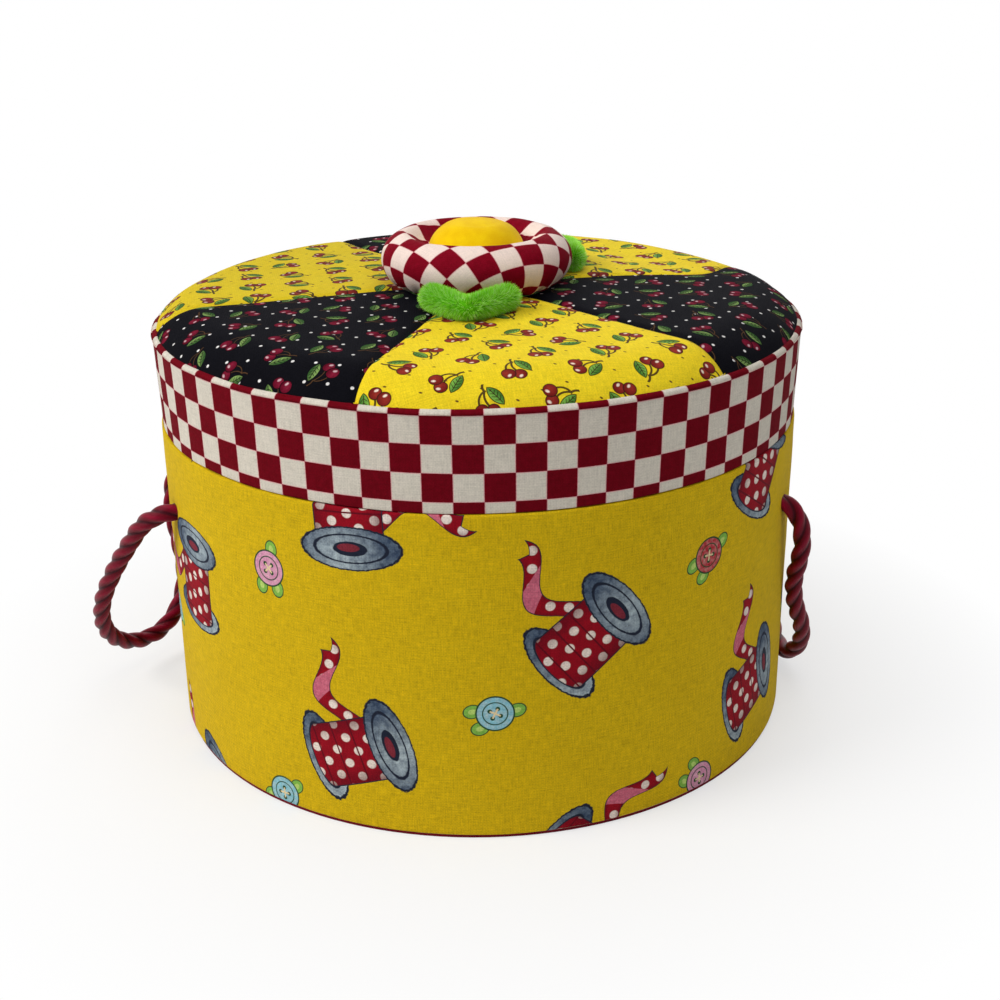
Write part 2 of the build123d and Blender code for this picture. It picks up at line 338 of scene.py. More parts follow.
def check(point, width, height, origin, red, red_light, white, bleed=0.42):
    """A printed two-colour check. The cell at the origin is red, and so are those at its corners."""
    across, along = point.moved(*origin).parts()
    column = across * (1 / width)
    row = along * (1 / height)
    parity = (column.maths("FLOOR") + row.maths("FLOOR")) * 0.5
    is_white = parity.maths("FRACT").maths("GREATER_THAN", 0.25)
    beside = (column.maths("FRACT") - 0.5).size()
    above = (row.maths("FRACT") - 0.5).size()
    edge = ((beside.most(above) * -1 + 0.5) * min(width, height)).between(bleed, 0.0)
    frayed = edge * (point.noise(1.6, 2.0) + 0.4)
    lightly = plain(point, white).under(frayed, linear(212, 118, 134))
    mottled = plain(point, red).under(point.noise(0.5, 2.0).between(0.35, 0.75) * 0.4, red_light)
    return mottled.under(is_white, lightly)


def cherries(point, ground, fruit, fruit_light, leaf, leaf_light, line, stalk, shine):
    """Pairs of cherries with a leaf, tossed at random angles in a half-drop layout."""
    place, (spin, _, _) = scattered(point, 23.5, 25.0)
    local = place.turned(spin * full_turn)
    outline = 0.32
    joint = (3.6, 3.2)
    stems = stem(local, (-1.6, 2.2), joint, 0.9, 0.15).least(stem(local, (-0.1, -0.9), joint, 0.8, 0.15))
    stems = stems.least(stem(local, joint, (5.6, 5.0), 0.3, 0.2))
    ground = ground.outlined(stems, stalk, 0.22, line)
    on_leaf = local.moved(4.1, -0.7).turned(radians(-72))
    blade = almond(on_leaf, 3.9, 1.75)
    along, aside = on_leaf.parts()
    green = plain(point, leaf).under(aside.between(-1.0, 1.4), leaf_light)
    ground = ground.outlined(blade, green, outline, line)
    vein_gap = 1.5
    veins = ((along - aside.size() * 0.9) * (1 / vein_gap)).maths("FRACT") - 0.5
    ribs = (veins.size() * vein_gap - 0.16).least(aside.size() - 0.15).most(blade + 0.3)
    ground = ground.under(ribs.between(0.07, -0.07), line)
    for x, y, radius in ((-0.8, -2.7, 2.1), (-2.9, 0.5, 2.25)):
        lit = local.away(x - 0.5, y + 0.6).between(radius * 1.4, 0.3)
        flesh = plain(point, fruit).under(lit, fruit_light)
        ground = ground.outlined(spot(local, x, y, radius), flesh, outline, line)
        ground = ground.painted(oval(local, x - 0.7, y - 0.8, 0.75, 0.5), shine, 0.16)
    return ground


def yellow_cherries(point):
    ground = plain(point, linear(230, 204, 34))
    ground = ground.under(point.noise(0.08, 2.0).between(0.3, 0.8) * 0.35, linear(224, 186, 22))
    flecks, _ = scattered(point.moved(6.2, 4.6).turned(radians(31)), 12.5, 13.5)
    ground = ground.painted(oval(flecks, 0, 0, 0.62, 0.34), linear(92, 58, 26))
    return cherries(
        point, ground, linear(98, 16, 14), linear(142, 42, 32), linear(60, 112, 40),
        linear(118, 172, 70), linear(46, 22, 14), linear(88, 66, 26), linear(232, 214, 196),
    )


def painted_shade_yellow_cherries(point):
    """The same cloth with painted shade: its colour darkened by 0.8, as where the light catches it less."""
    return yellow_cherries(point).shaded(0.8)


def black_cherries(point):
    ground = plain(point, linear(13, 13, 18))
    pins, _ = scattered(point.moved(3.0, 5.0).turned(radians(27)), 12.5, 13.0)
    ground = ground.painted(spot(pins, 0, 0, 0.62), linear(222, 220, 218))
    return cherries(
        point, ground, linear(80, 5, 26), linear(118, 26, 48), linear(54, 88, 44),
        linear(126, 156, 88), linear(9, 8, 12), linear(84, 60, 40), linear(196, 160, 166),
    )


def slate(point, light):
    """Brushed blue-grey paint, lighter where light nears 1."""
    dark = plain(point, linear(52, 66, 88))
    patchy = point.noise(0.32, 4.0, 0.65)
    dark = dark.under(patchy.between(0.38, 0.68), linear(96, 112, 130))
    return dark.under(light * patchy.between(0.2, 0.62), linear(168, 182, 188))


def dotted_ribbon(point, dots):
    """Crimson with white spots in a half-drop layout."""
    mottling = point.noise(0.25, 2.0).between(0.3, 0.8) * 0.4
    red = plain(point, linear(146, 7, 28)).under(mottling, linear(118, 3, 18))
    spots, _ = scattered(dots, 8.6, 10.2)
    return red.painted(spot(spots, 0, 0, 1.75), linear(228, 214, 204), 0.16)


def ribbon_reel(ground, place, spin):
    """A reel of dotted ribbon, seen from one side, with a loose end that waves away from it."""
    navy = linear(26, 32, 48)
    maroon = linear(92, 2, 22)
    outline = 0.55
    local = place.turned(spin)
    rough = (local.noise(0.7, 3.0) - 0.5) * 0.9
    across, up = local.parts()
    # The loose end, with a swallow-tail cut and one fold that shows its other side
    aside = across - up.sine(32) * 5.0 - 1.0
    notch = (up - aside * 0.49 + aside.size() * 0.8 + 39.1) * -1
    tail = (aside.size() - 3.6).most((up + 27).size() - 18).most(notch) + rough * 0.3
    ribbon = dotted_ribbon(local, local.moved(3, 1)).under(aside.size().between(1.6, 4.0) * 0.6, maroon)
    folded = (up - aside * 0.5 + 27.5).size() - 4.5
    pink = plain(local, linear(206, 112, 132)).under(rough.between(-0.2, 0.3), linear(176, 76, 100))
    ground = ground.outlined(tail, ribbon.painted(folded, pink), 0.4, navy)
    # The reel: its far disc, the wound ribbon, and its near disc
    far_disc = oval(local, 14.5, 0, 7.0, 17.0) + rough
    ground = ground.outlined(far_disc, slate(local, up.between(-14, 12)), outline, navy)
    roll = slab(local, 0.5, 0, 14.0, 12.5).least(oval(local, 14.5, 0, 4.6, 12.5)) + rough * 0.25
    wound = dotted_ribbon(local, local.turned(radians(12))).under(up.size().between(5.5, 13) * 0.8, maroon)
    turn_width = 7.6
    turns = ((across + 3.6) * (1 / turn_width)).maths("FRACT") - 0.5
    wound = wound.painted(turns.size() * turn_width - 0.3, maroon)
    ground = ground.outlined(roll, wound, 0.45, navy)
    near_disc = oval(local, -13.0, 0, 7.6, 18.0) + rough
    light = local.moved(-16, 4).away().between(17, 3)
    ground = ground.outlined(near_disc, slate(local, light), outline, navy)
    ground = ground.painted(oval(local, -13.0, 0, 5.2, 13.5).size() - 0.28 + rough * 0.4, navy)
    ground = ground.painted(oval(local, -13.0, 0, 2.7, 6.4) + rough * 0.4, navy)
    return ground.painted(oval(local, -12.6, 0.6, 1.5, 4.2), linear(120, 40, 52))


def buttons(ground, point, width, height):
    """Sewn buttons in four colours, each with loops of green thread."""
    place, (spin, hue, _) = scattered(point, width, height)
    local = place.turned(spin * full_turn)
    leafy = linear(124, 176, 74)
    dark = linear(34, 70, 44)
    for x, y in ((7.0, 3.9), (7.3, -3.4), (-7.6, 1.5)):
        ground = ground.outlined(oval(local, x, y, 3.0, 2.4), leafy, 0.38, dark)
        ground = ground.painted(oval(local, x, y, 1.5, 1.0), linear(178, 206, 110))
    ground = ground.painted(spot(local, 0, 0, 7.0), dark)
    face = plain(point, linear(206, 136, 170))
    for share, colour in ((0.3, (124, 184, 200)), (0.55, (226, 178, 86)), (0.78, (170, 18, 40))):
        face = face.under(hue.maths("GREATER_THAN", share), linear(*colour))
    face = face.under(local.noise(0.5, 3.0).between(0.35, 0.75) * 0.35, linear(228, 214, 200))
    ground = ground.painted(spot(local, 0, 0, 6.4), face)
    ground = ground.painted(hoop(local, 0, 0, 4.4, 0.22), dark)
    for x in (-1.5, 1.5):
        for y in (-1.5, 1.5):
            ground = ground.painted(spot(local, x, y, 0.85), dark)
    slanted = local.turned(radians(45))
    cross = slab(slanted, 0, 0, 2.1, 0.34).least(slab(slanted, 0, 0, 0.34, 2.1))
    return ground.painted(cross, linear(226, 204, 160))


def notions(point):
    """Yellow cotton printed with tossed ribbon reels and buttons."""
    ground = plain(point, linear(206, 173, 14))
    ground = ground.under(point.noise(0.03, 3.0).between(0.3, 0.75) * 0.4, linear(196, 161, 8))
    width, height = 168.0, 92.0
    ground = buttons(ground, point.moved(width / 2 + 4, 5), width, height)
    place, (spin, _, _) = scattered(point.moved(38, -14), width, height)
    return ribbon_reel(ground, place, spin * full_turn)


def red_ground(point):
    return plain(point, linear(116, 16, 34)).under(point.noise(0.05, 2.0) * 0.3, linear(96, 8, 24))


def pile(name, dark, light, relief, tint):
    """Brushed or tufted cloth: short soft fibres with no weave."""
    material, point = begin(name, "object")
    lumps = point.noise(0.16, 3.0)
    fibres = point.noise(2.6, 5.0, 0.7)
    share = lumps.between(0.3, 0.7) * 0.6 + fibres.between(0.35, 0.7) * 0.4
    colour = plain(point, dark).under(share, light)
    height = fibres + lumps * 0.8
    return finish(material, colour, height, relief * mm, 0.95, 0.2, tint, 0.15)


def chenille_material():
    """Lime pile with painted shade: darker at its roots and lighter towards its tips. The cloth map runs
    from root to tip.
    """
    material, point = begin("chenille", "cloth")
    tuft, tip = point.parts()
    # Painted shade at the roots, fading to lighter tips
    colour = plain(point, linear(90, 176, 14)).under(tip.between(0.0, 1.0), linear(168, 245, 70))
    colour = colour.under(tuft.between(0.62, 0.95) * 0.8, linear(226, 255, 172))
    return finish(material, colour, tip, 0.01 * mm, 0.8, 0.2, (0.75, 1, 0.4, 1), 0.15)


def cord_material():
    """Satin crimson yarns that run along the cord's plies, with painted shade in the grooves between the
    plies and between the yarns, and a painted highlight along the crests.
    """
    material, point = begin("satin_cord", "cloth")
    along, around = point.parts()
    yarns = around.sine(0.62)
    fine = point.stretched(0.35, 3.0).noise(1.0, 3.0, 0.6)
    ply_width = full_turn * cord_crest / 3 / mm
    crest = (around + ply_width / 4).sine(ply_width)
    # Painted shade: the darkest red in the grooves between the plies; painted highlight: a lighter red
    # along their crests
    colour = plain(point, linear(46, 0, 10)).under(crest.between(-1.0, -0.45), linear(100, 0, 23))
    colour = colour.under(crest.between(0.1, 1.0) * fine.between(0.25, 0.6), linear(140, 4, 42))
    # Painted shade: darker red in the hollows between the yarns
    colour = colour.under((yarns.between(-1.0, -0.2) * -1 + 1) * 0.5, linear(58, 0, 12))
    return finish(material, colour, yarns * 0.6 + fine, 0.05 * mm, 0.42, 0.0, (1, 0.3, 0.42, 1), 0.22)


def card_material():
    material, point = begin("pressed_card", "object")
    fibres = point.noise(1.4, 5.0, 0.7)
    colour = plain(point, linear(150, 132, 104)).under(fibres.between(0.3, 0.7), linear(178, 160, 132))
    return finish(material, colour, fibres, 0.05 * mm, 0.9)


def plastic_material():
    material, point = begin("tray_plastic", "object")
    grain = point.noise(0.9, 4.0, 0.6)
    colour = plain(point, linear(236, 232, 222)).under(point.noise(0.03, 2.0) * 0.3, linear(226, 220, 206))
    return finish(material, colour, grain, 0.012 * mm, 0.38, 0.0, (1, 1, 1, 1), 0.5)


band_check_width = 10.43
band_check_height = 10.15
band_check_origin = (-9.0 - band_check_width, 150.7)
ring_check = 9.1
ring_check_origin = (-0.18 * ring_check, 0.16 * ring_check)
crimson = linear(100, 0, 17)
crimson_light = linear(122, 6, 28)
off_white = linear(208, 201, 188)


def band_check(point):
    return check(
        point, band_check_width, band_check_height, band_check_origin, crimson, crimson_light, off_white
    )


def ring_checked(point):
    red = linear(118, 0, 24)
    red_light = linear(142, 10, 38)
    return check(point, ring_check, ring_check, ring_check_origin, red, red_light, linear(234, 214, 204))


materials = {
    "notions": woven("printed_cotton", notions, contrast=2.0),
    "band_check": woven("check_cotton", band_check, contrast=1.2, sheen=0.0, specular=0.05),
    "ring_check": woven("gathered_check_cotton", ring_checked, contrast=0.7, sheen=0.0, specular=0.05),
    "yellow_cherry_cotton": woven("yellow_cherry_cotton", yellow_cherries, contrast=1.4),
    # The same print with painted shade, for the back left patch
    "painted_shade_yellow_cherry_cotton": woven("painted_shade_yellow_cherry_cotton", painted_shade_yellow_cherries, contrast=1.4),
    "black_cherry_cotton": woven(
        "black_cherry_cotton", black_cherries, contrast=2.2, sheen=0.0, specular=0.02
    ),
    "red_cotton": woven("red_cotton", red_ground),
    "red_board": woven("red_cotton_on_board", red_ground, where="object"),
    "fleece": pile("yellow_fleece", linear(228, 178, 2), linear(244, 208, 12), 0.10, (1, 0.9, 0.4, 1)),
    "felt": pile("green_felt", linear(40, 84, 22), linear(70, 122, 38), 0.12, (0.8, 1, 0.7, 1)),
    "wadding": pile("wadding", linear(214, 212, 206), linear(236, 234, 230), 0.3, (1, 1, 1, 1)),
    "chenille": chenille_material(),
    "cord": cord_material(),
    "card": card_material(),
    "plastic": plastic_material(),
}


# Meshes
def add_mesh(name, points, faces, cloth_map=None, sharp=60):
    """A smooth mesh with its normals outwards. cloth_map has one place in the cloth per face corner."""
    mesh = bpy.data.meshes.new(name)
    mesh.from_pydata(np.asarray(points).reshape(-1, 3).tolist(), [], faces)
    if cloth_map is not None:
        layer = mesh.uv_layers.new(name="cloth")
        layer.data.foreach_set("uv", np.asarray(cloth_map, np.float32).ravel())
    build = bmesh.new()
    build.from_mesh(mesh)
    bmesh.ops.recalc_face_normals(build, faces=build.faces)
    build.to_mesh(mesh)
    build.free()
    mesh.polygons.foreach_set("use_smooth", [True] * len(mesh.polygons))
    mesh.set_sharp_from_angle(angle=radians(sharp))
    made = bpy.data.objects.new(name, mesh)
    bpy.context.scene.collection.objects.link(made)
    return made


def cell_corners(rows, columns):
    """The row and column of each corner of each cell of a grid, in order round the cell."""
    i, j = np.meshgrid(np.arange(rows), np.arange(columns), indexing="ij")
    return (
        np.stack([i, i, i + 1, i + 1], -1).reshape(-1, 4),
        np.stack([j, j + 1, j + 1, j], -1).reshape(-1, 4),
    )


def shell(name, face, back, place):
    """A thin closed sheet between its face and its back, both rows by columns of points."""
    points = np.concatenate([face, back[::-1]])
    rows, columns = points.shape[:2]
    i, j = cell_corners(rows, columns - 1)
    quads = (i % rows) * columns + j
    half = rows // 2
    places = np.concatenate([place, place[::-1], place[:1]])
    corners = places[i, j]
    k = np.arange(half - 1)
    ring = np.stack([k, k + 1, rows - 2 - k, rows - 1 - k], -1)
    ends = [ring * columns + end for end in (0, columns - 1)]
    end_places = [np.stack([places[ring[:, n], end] for n in range(4)], 1) for end in (0, columns - 1)]
    return add_mesh(
        name,
        points,
        np.concatenate([quads, *ends]).tolist(),
        np.concatenate([corners, *end_places]),
    )


def round_axis(radius, angle, level=None):
    """Places round the box's axis, with the front at angle 0. Without a level they are flat ones."""
    place = [radius * np.sin(angle), -radius * np.cos(angle)]
    return np.stack(place if level is None else [*place, level], -1)


def run_along(line):
    """How far along the line each of its points is."""
    return np.concatenate([[0], np.cumsum(np.linalg.norm(np.diff(line, axis=0), axis=1))])


def directions(line):
    """The line's direction at each of its points."""
    along = np.gradient(line, axis=0)
    return along / np.linalg.norm(along, axis=1)[:, None]


def tube_faces(rows, columns):
    """The faces of a tube of rings with a flat end on each side, and the grid corners of its sides."""
    i, j = cell_corners(rows - 1, columns)
    faces = (i * columns + j % columns).tolist()
    faces.append(list(range(columns)))
    faces.append(list(range((rows - 1) * columns, rows * columns)))
    return faces, i, j


def lathe(name, line, columns, shape=None):
    """A closed solid turned round the box's axis from a line that starts and ends on the axis."""
    line = np.array(line)
    rings = line[1:-1]
    rows = len(rings)
    radius, angle = np.meshgrid(rings[:, 0], np.arange(columns) / columns * full_turn, indexing="ij")
    level = np.repeat(rings[:, 1][:, None], columns, 1)
    if shape is not None:
        radius, level = shape(radius, level, angle)
    i, j = cell_corners(rows - 1, columns)
    quads = i * columns + j % columns
    run = run_along(line)

    def spread(i, j):
        return round_axis(run[i + 1], j / columns * full_turn)

    around = np.stack([np.arange(columns), np.arange(columns) + 1], -1)
    faces = quads.tolist()
    corners = [spread(i, j)]
    for ring, pole, at_pole in ((0, rows * columns, 0), (rows - 1, rows * columns + 1, 1)):
        tip = np.full((columns, 1), pole)
        faces += np.concatenate([ring * columns + around % columns, tip], 1).tolist()
        tips = spread(np.full((columns, 2), ring), around)
        corners.append(np.concatenate([tips, tips[:, :1] * at_pole], 1))
    poles = [[0, 0, line[0, 1]], [0, 0, line[-1, 1]]]
    return add_mesh(
        name,
        np.concatenate([round_axis(radius, angle, level).reshape(-1, 3), poles]),
        faces,
        np.concatenate([c.reshape(-1, 2) for c in corners]),
    )


def bent_line(corners, step):
    """Points about a step apart along straight runs whose corners (radius, level, fillet) are round."""
    corners = [(Vector((r, z)), fillet) for r, z, fillet in corners]
    points = [corners[0][0]]
    for (before, _), (corner, fillet), (after, _) in zip(corners, corners[1:], corners[2:]):
        arriving = (corner - before).normalized()
        leaving = (after - corner).normalized()
        turn = arriving.angle(leaving)
        cut = fillet * np.tan(turn / 2)
        start = corner - arriving * cut
        end = corner + leaving * cut
        inward = (leaving - arriving).normalized()
        centre = corner + inward * (fillet / cos(turn / 2))
        count = max(3, int(turn * fillet / step) + 1)
        for n in range(count + 1):
            share = n / count
            aim = (start - centre).lerp(end - centre, share).normalized()
            points.append(centre + aim * fillet)
    points.append(corners[-1][0])
    line = [points[0]]
    for point in points[1:]:
        gap = (point - line[-1]).length
        count = max(1, round(gap / step))
        origin = line[-1].copy()
        for n in range(1, count + 1):
            line.append(origin.lerp(point, n / count))
    return np.array([tuple(p) for p in line])


def smooth_step(value):
    value = np.clip(value, 0, 1)
    return value * value * (3 - 2 * value)


def waves(radius, angle, height, size, seed=0.0):
    """Soft noise of about that size in metres, from -1 to 1, at places round the box's axis."""
    radius, height = np.broadcast_arrays(radius, height)
    flat = np.stack([radius * np.sin(angle), radius * np.cos(angle), height], -1).reshape(-1, 3)
    values = [noise.noise(Vector(p)) for p in flat / size + seed]
    return np.array(values).reshape(np.shape(angle)) * 1.6


def turned_cloth(name, line, thickness, seam, reference, level, columns=540, shape=None):
    """Cloth wrapped once round the box on that line, with its ends lapped at the seam's azimuth.

    reference is the radius whose turn is the cloth's own width, and level is where the cloth's
    height is counted from at the start of the line."""
    along = directions(line)
    outward = np.stack([along[:, 1], -along[:, 0]], -1)
    run = level + run_along(line)
    turn = full_turn + hem_overlap / reference
    azimuth = seam - full_turn + np.linspace(0, turn, columns)
    lap = smooth_step((azimuth - seam) * reference / (1.2 * mm) + 1) * thickness * 1.05
    sides = []
    for depth in (0, thickness):
        spots = line - outward * depth
        radius = spots[:, 0][:, None] + outward[:, 0][:, None] * lap[None]
        height = spots[:, 1][:, None] + outward[:, 1][:, None] * lap[None]
        angle = np.repeat(azimuth[None], len(line), 0)
        if shape is not None:
            radius, height = shape(radius, height, angle)
        sides.append(round_axis(radius, angle, height))
    place = np.stack(np.broadcast_arrays(reference * azimuth[None], run[:, None]), -1)
    return shell(name, *sides, place)


def dress(made, material, body, slot, *nodes):
    """Gives a piece its material and its body, and hides the solids that it stands for. The slot is not
    used.
    """
    made.data.materials.clear()
    made.data.materials.append(materials[material])
    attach(made, body)
    if nodes:
        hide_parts(*nodes)
    return made


# Camera, fitted to the outlines of the lid and the drum
lens_length = 54.4
film_width = 36
camera_place = (0, -586.98 * mm, 316.5 * mm)
camera_pan = radians(-0.804)
camera_fall = radians(21.883)
camera_roll = radians(-0.617)


def add_camera():
    lens = bpy.data.cameras.new("camera")
    lens.lens = lens_length
    lens.sensor_width = film_width
    camera = bpy.data.objects.new("camera", lens)
    turn = Matrix.Rotation(camera_pan, 4, "Z")
    tilt = Matrix.Rotation(pi / 2 - camera_fall, 4, "X")
    roll = Matrix.Rotation(camera_roll, 4, "Z")
    place = Matrix.Translation(camera_place)
    camera.matrix_world = place @ turn @ tilt @ roll
    bpy.context.scene.collection.objects.link(camera)
    bpy.context.scene.camera = camera


# Cords
def hole_point(side, end, radius):
    """A point on the line of a cord hole. side is -1 left or 1 right, end is -1 front or 1 rear."""
    return (
        side * radius * cos(cord_hole_spread),
        end * radius * sin(cord_hole_spread),
        cord_hole_height,
    )


def smooth_route(points):
    """Closely spaced points on the smooth line that the route's points draw."""
    curve = bpy.data.curves.new("route", "CURVE")
    curve.dimensions = "3D"
    spline = curve.splines.new("NURBS")
    spline.points.add(len(points) - 1)
    for control, point in zip(spline.points, points):
        control.co = (*point, 1)
    spline.order_u = 3
    spline.use_endpoint_u = True
    spline.resolution_u = 24
    drawn = bpy.data.objects.new("route", curve)
    mesh = bpy.data.meshes.new_from_object(drawn)
    line = np.array([vertex.co for vertex in mesh.vertices])
    bpy.data.objects.remove(drawn)
    bpy.data.curves.remove(curve)
    bpy.data.meshes.remove(mesh)
    return line


def spaced(line, step):
    """The same line with its points a step apart, and its length."""
    run = run_along(line)
    where = np.linspace(0, run[-1], int(run[-1] / step) + 1)
    return np.stack([np.interp(where, run, line[:, k]) for k in range(3)], -1), run[-1]


def carried_frames(line):
    """Two directions across the line at each point, carried along it without twisting."""
    along = directions(line)
    first = np.cross(along[0], (0, 0, 1))
    if np.linalg.norm(first) < 0.1:
        first = np.cross(along[0], (1, 0, 0))
    across = [first / np.linalg.norm(first)]
    for direction in along[1:]:
        moved = across[-1] - direction * np.dot(across[-1], direction)
        across.append(moved / np.linalg.norm(moved))
    across = np.array(across)
    return across, np.cross(along, across)


def twisted_cord(name, line):
    """A tube of three plump plies twisted round each other along a line."""
    line, length = spaced(line, cord_step)
    across, upward = carried_frames(line)
    around = np.linspace(0, full_turn, cord_columns, endpoint=False)
    run = np.linspace(0, length, len(line))
    twist = run / cord_lay * full_turn + lay_wander * np.sin(run / wander_length)
    radius = cord_crest
    ply = ply_share * radius
    offset = radius - ply
    angle = around[None] - twist[:, None]
    lobe = (angle + pi / 3) % (full_turn / 3) - pi / 3
    reach = offset * np.cos(lobe) + np.sqrt(ply**2 - (offset * np.sin(lobe)) ** 2)
    from_end = np.minimum(run, length - run)
    round_end = np.sqrt(np.clip(1 - (1 - np.clip(from_end / radius, 0, 1)) ** 2, 0.02, 1))
    reach = reach * round_end[:, None]
    points = (
        line[:, None]
        + across[:, None] * (reach * np.cos(around))[..., None]
        + upward[:, None] * (reach * np.sin(around))[..., None]
    )
    faces, i, j = tube_faces(len(line), cord_columns)
    lay_angle = j / cord_columns * full_turn - twist[i]
    corners = np.stack([run[i], lay_angle * radius], -1).reshape(-1, 2)
    ends = np.zeros((2 * cord_columns, 2))
    made = add_mesh(name, points, faces, np.concatenate([corners, ends]), sharp=89)
    return made, line, length


def add_handle(side, name, loop):
    """A handle's cord, which bends where it leaves the drum, with a knot on each end inside."""
    start, end = (hole_point(side, way, cord_start_radius) for way in (-1, 1))
    turns = [hole_point(side, way, cord_turn_radius) for way in (-1, 1)]
    made, line, length = twisted_cord(f"{name}_cord", smooth_route([start, turns[0], *loop, turns[1], end]))
    made.data.materials.append(materials["cord"])
    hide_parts(f"{name}_handle_loop")
    joint = turns[0][0]
    joint - side * bend_reach
    joint + side * bend_reach
    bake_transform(made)
    hole_point(side, -1, hole_mouth_radius)
    [add_knot(side, way, name) for way in (-1, 1)]


def add_knot(side, end, handle):
    """The knotted end of a cord: a turn round itself, and a tail that hangs down."""
    where = "front" if end < 0 else "rear"
    up = Vector((0, 0, 1))
    inward = Vector((0, 0, cord_hole_height)) - Vector(hole_point(side, end, 1.0))
    inward.normalize()
    beside = up.cross(inward)
    middle = Vector(hole_point(side, end, knot_radius))
    sketch = [
        (-3.6, 0, 0), (0.5, 0, 0.6), (3.6, 0.6, 1.2), (5.2, 3.2, 0.4), (3.4, 4.6, -3.0), (0.6, 2.6, -4.6),
        (-0.8, -1.8, -4.2), (0.2, -4.6, -1.0), (2.0, -3.6, 3.4), (3.6, 0.6, 4.4), (5.4, 3.0, 1.6),
        (6.4, 1.4, -3.4), (6.0, 0.4, -8.0), (5.6, 0, -13.0), (5.8, -0.4, -18.0),
    ]
    points = [middle + inward * (a * mm) + beside * (b * mm) + up * (c * mm) for a, b, c in sketch]
    made, _, _ = twisted_cord(f"{handle}_{where}_cord_knot", smooth_route(points))
    return dress(made, "cord", "drum", "cord", f"{handle}_{where}_knot")


# Drum
def add_drum():
    low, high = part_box("wall_cover")
    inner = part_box("collar")[1].x
    line = bent_line(
        [
            (high.x - 1.6 * mm, low.z, 0),
            (high.x, low.z, 0.7 * mm),
            (high.x, high.z, 0.8 * mm),
            (inner + 0.1 * mm, high.z, 0),
        ],
        2.2 * mm,
    )
    holes = [hole_point(side, end, hole_mouth_radius) for side in (-1, 1) for end in (-1, 1)]

    def settle(radius, height, angle):
        soft = waves(radius, angle, height, 24 * mm) * 0.14 * mm
        soft = soft + waves(radius, angle, height, 7 * mm, 3.1) * 0.035 * mm
        place = round_axis(radius, angle, height)
        for hole in holes:
            gap = np.linalg.norm(place - hole, axis=-1)
            soft = soft - hole_dip * np.exp(-((gap / (4.6 * mm)) ** 2))
        return radius + np.maximum(soft, -hole_dip), height

    cover = turned_cloth(
        "drum_cloth", line, cloth, radians(176), high.x, low.z - 1.6 * mm, columns=640, shape=settle
    )
    dress(cover, "notions", "drum", "printed_cotton", "wall_cover")
    add_lining()
    add_floor_pad()


def add_lining():
    low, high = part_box("drum_lining")
    inner = high.x - 2.3 * mm
    skirt_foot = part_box("wall_cover")[1].z
    line = bent_line(
        [
            (high.x, skirt_foot + 0.15 * mm, 0),
            (high.x, high.z, 0.8 * mm),
            (inner, high.z, 0.8 * mm),
            (inner, low.z, 0),
        ],
        3.5 * mm,
    )

    def settle(radius, height, angle):
        return radius - np.abs(waves(radius, angle, height, 30 * mm, 5.0)) * 0.06 * mm, height

    lining = turned_cloth(
        "lining_cloth", line, lining_cloth, radians(184), inner, 0, columns=360, shape=settle
    )
    dress(lining, "red_cotton", "drum", "red_cotton", "drum_lining")


def cushion_line(radius, foot, shoulder, apex, roll, sag, step):
    """A low round cushion's half outline from the middle of its top to the middle of its foot."""
    reach = radius - roll
    curve = (reach**2 + sag**2) / (2 * sag)
    slope = reach / curve
    tangent = Vector((sqrt(1 - slope**2), -slope))
    start = Vector((reach, apex - sag))
    gap = Vector((radius, shoulder)) - start
    inward = Vector((-slope, -tangent.x))
    edge = gap.length_squared / (2 * gap.dot(inward))
    centre = start + inward * edge
    end_angle = (Vector((radius, shoulder)) - centre).angle_signed(start - centre)
    line = [Vector((r, apex - curve + sqrt(curve**2 - r**2))) for r in np.arange(0, reach, step)]
    count = max(4, int(abs(end_angle) * edge / step))
    for n in range(count + 1):
        spoke = (start - centre).copy()
        spoke.rotate(Matrix.Rotation(-abs(end_angle) * n / count, 2))
        line.append(centre + spoke)
    line.append(Vector((radius, foot)))
    inner = [Vector((r, foot)) for r in np.arange(radius - 3 * step, 0, -4 * step)]
    return np.array([tuple(p) for p in [*line, *inner, Vector((0, foot))]])


def add_floor_pad():
    low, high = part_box("floor_pad")
    line = cushion_line(high.x, low.z, low.z + 3 * mm, high.z, 14 * mm, 1.5 * mm, 2.5 * mm)
    pad = lathe("floor_cushion", line, 180)
    dress(pad, "red_cotton", "drum", "red_cotton", "floor_pad")


# Lid
def add_band():
    low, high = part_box("lid_band_cover")
    radius = high.x
    roll = 1.7 * mm
    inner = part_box("patch_right")[1].x - 0.1 * mm
    line = bent_line(
        [
            (radius - 2.6 * mm, low.z, 0),
            (radius - 1.1 * mm, low.z, 0.5 * mm),
            (radius, high.z - roll, 20 * mm),
            (radius, high.z, roll - 0.1 * mm),
            (inner, high.z, 0.45 * mm),
            (inner, high.z - 1.6 * mm, 0),
        ],
        1.1 * mm,
    )

    def settle(radius, height, angle):
        near_top = smooth_step((height - high.z + 7 * mm) / (6 * mm))
        near_foot = smooth_step((low.z + 6 * mm - height) / (6 * mm))
        soft = waves(radius, angle, height, 20 * mm, 9.0) * 0.10 * mm
        puffs = waves(radius, angle, 0, 9 * mm, 2.0) * 0.16 * mm
        sway = waves(radius, angle, 0, 34 * mm, 7.0) * (0.22 * near_top + 0.16 * near_foot) * mm
        return radius + soft * (1 - near_top) + puffs * near_top, height + sway

    band = turned_cloth(
        "band_cloth", line, cloth, radians(172), radius, low.z - 1.5 * mm, columns=760, shape=settle
    )
    dress(band, "band_check", "lid", "check_cotton", "lid_band_cover")
    low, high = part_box("lid_band_lining")
    inner = high.x - lining_cloth
    middle = (low.z + high.z) / 2
    line = bent_line([(inner, high.z, 0), (inner, middle, 1 * mm), (inner - 0.01 * mm, low.z, 0)], 4 * mm)
    lining = turned_cloth("band_lining_cloth", line, lining_cloth, radians(180), inner, 0, columns=300)
    dress(lining, "red_cotton", "lid", "red_cotton", "lid_band_lining")


pad_roll = 20 * mm
pad_sag = 1.2 * mm
rim_showing = 1.0 * mm
